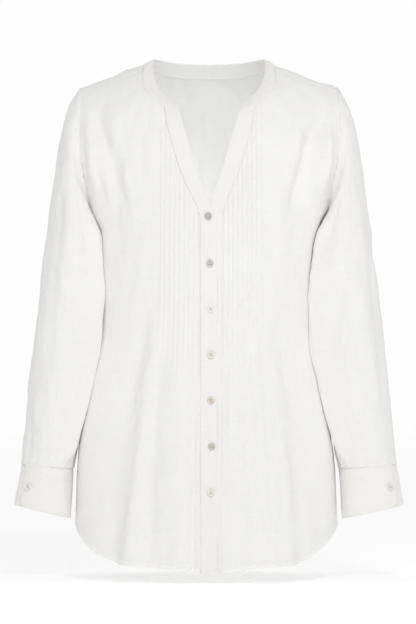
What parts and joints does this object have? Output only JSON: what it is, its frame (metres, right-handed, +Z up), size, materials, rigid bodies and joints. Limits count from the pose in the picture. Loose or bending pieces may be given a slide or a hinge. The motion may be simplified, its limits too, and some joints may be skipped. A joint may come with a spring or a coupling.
{
  "type": "long-sleeved button-front blouse, filled out as worn",
  "caption": "Hollow-form blouse with long cuffed sleeves, a narrow neck band, a V neck, a pin-tucked bib and a button front.",
  "frame": {"origin": "middle of the neck base, level with the high points of the shoulders, where the wearer's shoulders carry the blouse", "axes": "+Z up along the body, -Y out of the buttoned front, +X towards the wearer's left arm"},
  "size_m": [0.581, 0.2818, 0.7708],
  "materials": {
    "cloth": "matt slubby voile, plain weave",
    "cloth_double": "the same voile in two plies",
    "shell": "satin shell, in varied tones"
  },
  "bodies": {
    "root": {"front_right": "cloth", "front_left": "cloth", "back": "cloth", "sleeve_right": "cloth", "sleeve_left": "cloth", "cuff_right": "cloth_double", "cuff_left": "cloth_double", "neck_band": "cloth_double", "buttonhole_strip": "cloth_double", "button_strip": "cloth_double", "button_1": "shell", "button_2": "shell", "button_3": "shell", "button_4": "shell", "button_5": "shell", "button_6": "shell", "button_7": "shell", "cuff_button_right": "shell", "cuff_button_left": "shell"}
  },
  "joints": []
}
